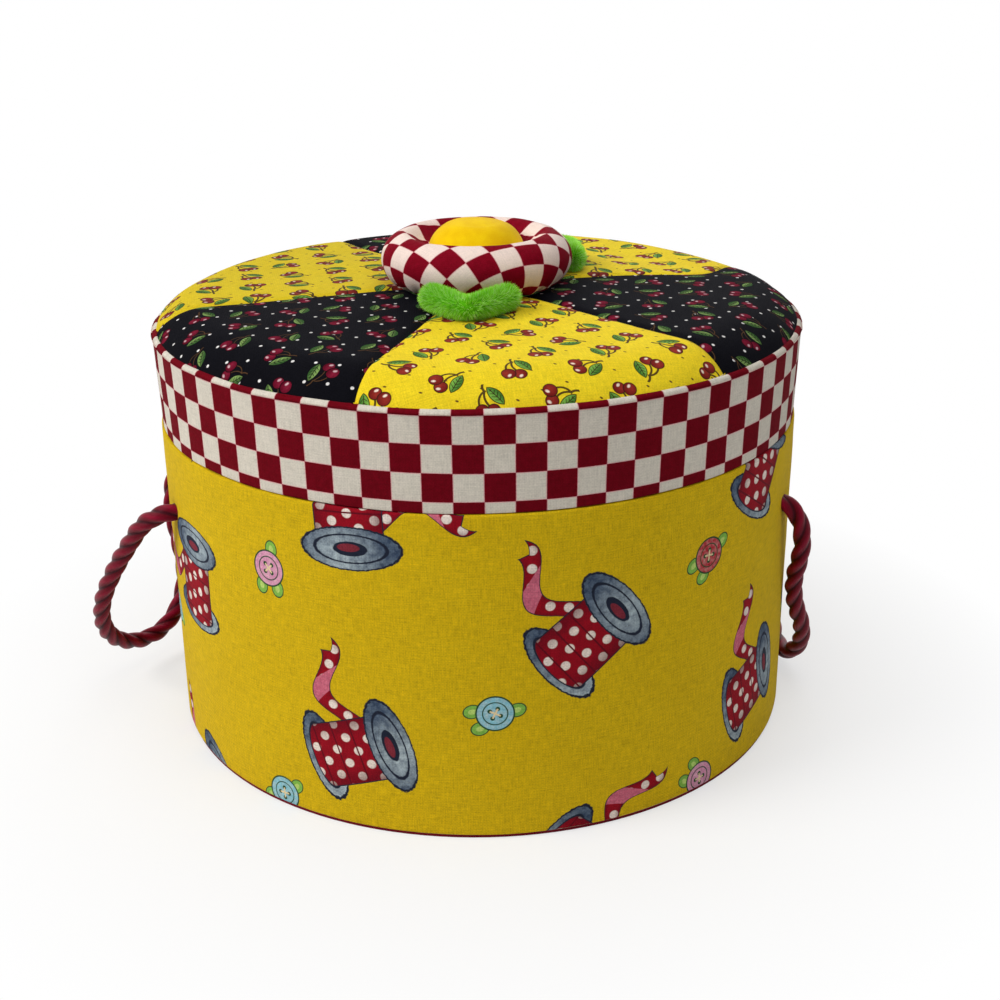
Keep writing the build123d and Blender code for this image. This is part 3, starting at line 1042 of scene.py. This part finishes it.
# Where each patch's two seams are and which way its print runs, in degrees from the front
patches = {
    "patch_front": (-19, 42.5, 12),
    "patch_right": (42.5, 102, -48),
    "patch_back_right": (102, 162, 150),
    "patch_back": (162, 213, 205),
    "patch_back_left": (213, 283, 236),
    "patch_left": (283, 341, 317),
}
# How far a seam leans round by the time it reaches the rim, in degrees
seam_leans = {102: 8}
back_settling = 0.9 * mm
dent_depth = 1.9 * mm
dent_azimuth = 133
dent_spread = 28


def settled_top(radius, level, angle):
    """The lid's top where it has settled: a little at the back, and more at the back right."""
    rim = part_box("lid_band_cover")[1].z
    back = back_settling * (1 - np.cos(angle)) / 2
    dent = dent_depth * np.exp(-(((np.degrees(angle) % 360 - dent_azimuth) / dent_spread) ** 2))
    outside = smooth_step((radius - 50 * mm) / (42 * mm)) * smooth_step((level - rim) / (6 * mm))
    return radius, level - (back + dent) * outside


def add_patches():
    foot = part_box("patch_front")[0].z
    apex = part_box("lid_pad")[1].z + patch_cloth
    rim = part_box("lid_band_cover")[1]
    outer = rim.x - rim_showing
    edge = rim.z - 0.75 * mm
    whole = cushion_line(outer, foot, edge, apex, pad_roll, pad_sag, 1.3 * mm)
    line = np.array([p for p in whole if p[0] > 6.5 * mm and p[1] > edge])
    line = np.concatenate([line, [[outer, edge], [outer - 0.7 * mm, edge - 0.1 * mm]]])
    run = run_along(line) + line[0, 0]
    along = directions(line)
    outward = np.stack([-along[:, 1], along[:, 0]], -1)[:, :, None]
    leaning = smooth_step((line[:, 0] - 92 * mm) / (24 * mm))[:, None]
    slots = {part["node"]: part["material_slot"] for part in frame["record"]["subparts"]}
    for name, (first, last, grain) in patches.items():
        columns = int((last - first) * 1.9)
        start, end = (np.radians(seam + seam_leans.get(seam, 0) * leaning) for seam in (first, last))
        angle = start + (end - start) * np.linspace(0, 1, columns)
        radius = np.repeat(line[:, 0][:, None], columns, 1)
        level = np.repeat(line[:, 1][:, None], columns, 1)
        _, level = settled_top(radius, level, angle)
        from_seam = radius * np.minimum(angle - start, end - angle)
        groove = 0.75 * mm * np.exp(-((from_seam / (1.5 * mm)) ** 2))
        plump = 0.45 * mm * (1 - np.exp(-from_seam / (9 * mm)))
        lumps = waves(radius, angle, 0, 34 * mm, 4.0) * 0.45 * mm
        near_rim = smooth_step((radius - outer + 16 * mm) / (14 * mm))
        near_rim = near_rim * smooth_step((outer - radius) / (2 * mm) + 0.1)
        drift = 3 * waves(radius, angle, 0, 60 * mm, 8.0)
        pulls = np.sin(angle * outer / (5.2 * mm) + drift) * 0.14 * mm * near_rim
        held = smooth_step((outer + 0.4 * mm - radius) / (3.5 * mm))
        lift = (plump + lumps) * held - groove + pulls - 0.25 * mm
        sides = []
        for depth in (0, patch_cloth * 0.8):
            across, up = outward[:, 0] * (lift - depth), outward[:, 1] * (lift - depth)
            sides.append(round_axis(radius + across, angle, level + up))
        turn = angle - radians(grain)
        place = round_axis(run[:, None], turn)
        made = shell(f"{name}_cloth", *sides, place)
        # The back left patch takes the same print with painted shade, darkened by 0.8
        material = "painted_shade_yellow_cherry_cotton" if name == "patch_back_left" else slots[name]
        dress(made, material, "lid", slots[name], name)


def add_lid_pad():
    low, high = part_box("lid_pad")
    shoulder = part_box("lid_band_cover")[1].z - 1.6 * mm
    apex = high.z - 1.4 * mm
    line = cushion_line(high.x - 0.6 * mm, low.z, shoulder, apex, pad_roll, pad_sag, 3 * mm)
    pad = lathe("lid_cushion", line, 160, shape=settled_top)
    dress(pad, "wadding", "lid", "wadding", "lid_pad")


# Pincushion
ring_middle = 25.5 * mm
ring_half_width = 12 * mm
ring_cloth_equator = 38.5 * mm
ring_cloth_turn = radians(31.045)


def add_ring():
    low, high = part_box("pincushion_ring")
    half_height = 10.4 * mm
    level = high.z - half_height
    rows, columns = 132, 400
    bottom = radians(-90)
    slant = bottom + np.arange(rows) / rows * full_turn
    azimuth = np.arange(columns) / columns * full_turn
    fine = np.linspace(bottom, bottom + full_turn, 2000)
    run = run_along(np.stack([ring_half_width * np.cos(fine), half_height * np.sin(fine)], -1))
    run -= np.interp(0, fine, run)
    tilt, angle = np.meshgrid(slant, azimuth, indexing="ij")
    # Gathers round the hole, and others round the foot
    folds = np.sin(34 * angle + 1.3 * np.sin(5 * angle + 0.6)) * 0.5 + np.sin(21 * angle + 2.0) * 0.5
    inner_folds = smooth_step((tilt - radians(75)) / radians(55))
    inner_folds = inner_folds * (1 - smooth_step((tilt - radians(200)) / radians(60)))
    outer_folds = smooth_step((radians(-12) - tilt) / radians(50))
    foot_folds = np.sin(29 * angle + 0.7 * np.sin(4 * angle))
    lumps = waves(1.0, angle, tilt * 0.3, 0.42, 2.0)
    swell = 1 + 0.022 * lumps + 0.045 * inner_folds * folds + 0.05 * outer_folds * foot_folds
    radius = ring_middle + ring_half_width * np.cos(tilt) * swell
    height = level + half_height * np.sin(tilt) * swell
    drawn_in = smooth_step((ring_middle + 3.5 * mm - radius) / (9 * mm)) * (height > level)
    height = np.maximum(height - 4 * mm * drawn_in, low.z + 0.05 * mm)
    i, j = cell_corners(rows, columns)
    quads = (i % rows) * columns + j % columns
    out = ring_cloth_equator - np.interp(bottom + i / rows * full_turn, fine, run)
    around = j / columns * full_turn - ring_cloth_turn
    points = round_axis(radius, angle, height)
    corners = round_axis(out, around).reshape(-1, 2)
    ring = add_mesh("pincushion_petals", points, quads.tolist(), corners)
    dress(ring, "ring_check", "lid", "check_cotton", "pincushion_ring")
    add_dome(level)
    low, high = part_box("flower_felt")
    rim = high.x
    bevel = rim - 0.2 * mm
    middle = (low.z + high.z) / 2
    line = [(0, high.z), (rim * 0.5, high.z), (bevel, high.z), (rim, middle), (bevel, low.z), (0, low.z)]
    felt = lathe("flower_base", line, 96)
    dress(felt, "felt", "lid", "felt", "flower_felt")


def add_dome(level):
    """The yellow centre: a dome over the ring's crest, and a stalk down through the ring's hole."""
    low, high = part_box("pincushion_centre")
    shoulder = high.z - 11 * mm
    dome = cushion_line(18.8 * mm, level, shoulder, high.z - 0.5 * mm, 9.2 * mm, 1.2 * mm, 0.6 * mm)
    above = dome[dome[:, 1] > level + 1 * mm]
    stalk = ring_middle - ring_half_width - 0.6 * mm
    tail = [
        (18.7 * mm, level + 1 * mm),
        (16 * mm, level - 2 * mm),
        (stalk, level - 4 * mm),
        (stalk, low.z),
        (0, low.z),
    ]

    def settle(radius, height, angle):
        return radius, height + waves(radius, angle, height, 11 * mm, 6.0) * 0.28 * mm

    centre = lathe("pincushion_dome", np.concatenate([above, tail]), 160, shape=settle)
    dress(centre, "fleece", "lid", "yellow_fleece", "pincushion_centre")


leaf_radius = 5 * mm
leaf_tip = 58.2 * mm
leaf_end = 45.5 * mm
leaf_azimuths = {"front_leaf": -3.5, "side_leaf": 138}
leaf_half_angles = {"front_leaf": 17.4, "side_leaf": 24}
leaf_tucks = {"front_leaf": 0, "side_leaf": 2.5 * mm}
tip_half_angle = 0.05
leaf_seeds = {"front_leaf": 7, "side_leaf": 8}
core_share = 0.66
core_columns = 28
cap_rings = 10
fibre_count = 9000
fibre_radius = 0.11 * mm


def plumpness(share):
    """How thick a leaf's pile is at that share of its length: it is pinched in the middle."""
    return leaf_radius * (1.16 - 0.16 * np.exp(-(((share - 0.5) / 0.14) ** 2)))


def leaf_core(line, along, across, upward):
    """The points of a leaf's core, ring by ring, with a round cap on each end. It takes the pile's painted
    root shade.
    """
    around = np.arange(core_columns) / core_columns * full_turn
    caps = []
    for end, way in ((0, -1), (-1, 1)):
        core = core_share * plumpness(0)
        cap = []
        for n in range(1, cap_rings):
            rise = n / cap_rings * pi / 2
            middle = line[end] + along[end] * (way * core * cos(rise))
            cap.append((middle, across[end], upward[end], core * sin(rise)))
        caps.append(cap)
    last = len(line) - 1
    body = []
    for k in range(0, last + 1, 3):
        body.append((line[k], across[k], upward[k], core_share * plumpness(k / last)))
    points = []
    for middle, side, up, radius in caps[0] + body + caps[1][::-1]:
        points.append(middle + radius * (np.outer(np.cos(around), side) + np.outer(np.sin(around), up)))
    return np.array(points)


def fibre(rng, line, length, along, across, upward):
    """The seven points of one fibre: three at its root, three at its middle and its tip."""
    s = rng.uniform(-leaf_radius, length + leaf_radius)
    share = np.clip(s / length, 0, 1)
    k = int(share * (len(line) - 1))
    turn = rng.uniform(0, full_turn)
    out = across[k] * cos(turn) + upward[k] * sin(turn)
    if s < 0 or s > length:
        beyond = (s if s < 0 else s - length) / leaf_radius
        lean = np.clip(abs(beyond), 0, 1) * pi / 2 * 1.05
        out = out * cos(lean) + along[k] * (sin(lean) * np.sign(beyond))
    for direction, scatter in ((along[k], 0.16), (across[k], 0.14), (upward[k], 0.14)):
        out = out + direction * rng.normal(0, scatter)
    out /= np.linalg.norm(out)
    plump = plumpness(share)
    root = line[k] + out * (0.5 * plump)
    tall = plump * (0.52 + rng.normal(0, 0.035))
    side = np.cross(out, along[k] + 0.3 * across[k])
    side /= np.linalg.norm(side)
    other = np.cross(out, side)
    curl = (side * rng.normal(0, 1) + other * rng.normal(0, 1)) * 0.12 * tall
    middle = root + out * tall * 0.6 + curl * 0.4
    points = []
    for centre, width in ((root, fibre_radius), (middle, fibre_radius * 0.85)):
        for m in range(3):
            spin = m * full_turn / 3
            points.append(centre + (side * cos(spin) + other * sin(spin)) * width)
    return [*points, root + out * tall + curl]


def add_leaf(name):
    """A chenille stem bent to a wide V: a core in the pile's painted root shade under thousands of short
    fibres.
    """
    low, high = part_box(name)
    level = (low.z + high.z) / 2
    tip = leaf_tip - leaf_tucks[name]
    end = leaf_end - leaf_tucks[name]
    azimuth = radians(leaf_azimuths[name])
    spread = radians(leaf_half_angles[name])
    bends = ((end, -spread), (tip, -tip_half_angle), (tip, tip_half_angle), (end, spread))
    corners = [round_axis(distance, azimuth + turn, level) for distance, turn in bends]
    line, length = spaced(smooth_route(corners), 0.25 * mm)
    across, upward = carried_frames(line)
    along = directions(line)
    rng = np.random.default_rng(leaf_seeds[name])
    core = leaf_core(line, along, across, upward)
    faces, _, _ = tube_faces(len(core), core_columns)
    # The core's cloth map is all at the roots, so it takes their painted shade
    core_places = np.zeros((sum(len(face) for face in faces), 2))
    base = len(core) * core_columns
    points = []
    places = []
    for n in range(fibre_count):
        points += fibre(rng, line, length, along, across, upward)
        shade = rng.uniform(0, 1)
        # The height along each fibre sets its painted shade, darkest at the root
        root, low_ring, high_ring, top = ((shade, height) for height in (0.0, 0.1, 0.6, 1.0))
        b = base + 7 * n
        for m in range(3):
            o = (m + 1) % 3
            faces.append([b + m, b + o, b + 3 + o, b + 3 + m])
            faces.append([b + 3 + m, b + 3 + o, b + 6])
            places += [low_ring, low_ring, high_ring, high_ring, high_ring, high_ring, top]
        faces.append([b + 2, b + 1, b])
        places += [root] * 3
    every = np.concatenate([core.reshape(-1, 3), points])
    # The pile is pressed flat where it lies on the patches, which fall away from the middle
    fall = (np.hypot(every[:, 0], every[:, 1]) / (124 * mm)) ** 2 * 0.5 * mm
    every[:, 2] = np.maximum(every[:, 2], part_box("patch_right")[1].z - 0.6 * mm - fall)
    leaf = add_mesh(f"{name}_chenille", every, faces, np.concatenate([core_places, np.array(places) * mm]))
    dress(leaf, "chenille", "lid", "chenille", name)


# Light and floor
world_strength = 0.21
floor_reach = 12.0


def add_lamp(name, place, aim, size, power, colour):
    lamp = bpy.data.lights.new(name, "AREA")
    lamp.shape = "DISK"
    lamp.size = size
    lamp.energy = power
    lamp.color = colour
    made = bpy.data.objects.new(name, lamp)
    made.location = place
    made.rotation_euler = (Vector(aim) - Vector(place)).to_track_quat("-Z", "Y").to_euler()
    bpy.context.scene.collection.objects.link(made)


def camera_share(tree):
    """1 for what the camera, a mirror or glass sees directly, and 0 for the light that a surface gets."""
    rays = tree.nodes.new("ShaderNodeLightPath")
    share = Field(tree, rays.outputs["Is Camera Ray"])
    for name in ("Is Glossy Ray", "Is Transmission Ray"):
        share = share.most(Field(tree, rays.outputs[name]))
    return share


def mixed(tree, share, lit, seen, output):
    """Shows one shader, and the other over it by that share."""
    mix = tree.nodes.new("ShaderNodeMixShader")
    feed(tree, mix.inputs[0], share)
    tree.links.new(lit.outputs[0], mix.inputs[1])
    tree.links.new(seen.outputs[0], mix.inputs[2])
    tree.links.new(mix.outputs[0], tree.nodes[output].inputs["Surface"])


def add_world():
    world = bpy.data.worlds.new("studio")
    bpy.context.scene.world = world
    world.use_nodes = True
    tree = world.node_tree
    around = tree.nodes["Background"]
    around.inputs["Color"].default_value = (1, 1, 1, 1)
    around.inputs["Strength"].default_value = world_strength
    seen = tree.nodes.new("ShaderNodeBackground")
    seen.inputs["Color"].default_value = (1, 1, 1, 1)
    seen.inputs["Strength"].default_value = 1
    mixed(tree, camera_share(tree), around, seen, "World Output")


def add_floor():
    """A pale floor that keeps the box's shadow near it and is seen as white farther away."""
    corners = [(x, y, 0) for x, y in ((-1, -1), (1, -1), (1, 1), (-1, 1))]
    floor = add_mesh("floor", np.array(corners) * floor_reach, [(0, 1, 2, 3)])
    material = bpy.data.materials.new("floor")
    material.use_nodes = True
    tree = material.node_tree
    shader = tree.nodes["Principled BSDF"]
    shader.inputs["Base Color"].default_value = (0.86, 0.86, 0.86, 1)
    shader.inputs["Roughness"].default_value = 0.9
    shader.inputs["Specular IOR Level"].default_value = 0.1
    glow = tree.nodes.new("ShaderNodeEmission")
    glow.inputs["Color"].default_value = (1, 1, 1, 1)
    place = Field(tree, tree.nodes.new("ShaderNodeTexCoord").outputs["Object"])
    white = camera_share(tree) * place.away().between(0.12, 0.25).between(-1.2, 1.0)
    mixed(tree, white, shader, glow, "Material Output")
    floor.data.materials.append(material)


def add_studio():
    bpy.context.scene.view_settings.view_transform = "Standard"
    add_lamp("key", (-1.15, -0.45, 1.1), (0, 0, 0.08), 0.8, 17.5, (1, 0.985, 0.96))
    add_lamp("top", (0.1, -0.3, 0.95), (0, -0.05, 0.15), 0.6, 2.7, (1, 1, 1))
    add_lamp("fill", (1.2, -0.9, 0.6), (0, 0, 0.1), 1.2, 1.6, (0.96, 0.98, 1))
    add_lamp("back", (0.3, 1.25, 0.8), (0, 0, 0.1), 1.2, 6, (1, 1, 1))
    add_world()
    add_floor()


def dress_solids():
    """The solids that keep their own shape: boards, the covered panels and the tray."""
    finishes = {"card": "card", "red_cotton": "red_board", "tray_plastic": "plastic"}
    for part in frame["record"]["subparts"]:
        solid = frame["nodes"][part["node"]]
        if part["material_slot"] in finishes and not solid.hide_render:
            solid.data.materials.clear()
            solid.data.materials.append(materials[finishes[part["material_slot"]]])


add_camera()
add_handle(-1, "left", left_loop)
add_handle(1, "right", right_loop)
add_drum()
add_lid_pad()
add_patches()
add_band()
add_ring()
for leaf_name in leaf_azimuths:
    add_leaf(leaf_name)
dress_solids()
add_studio()
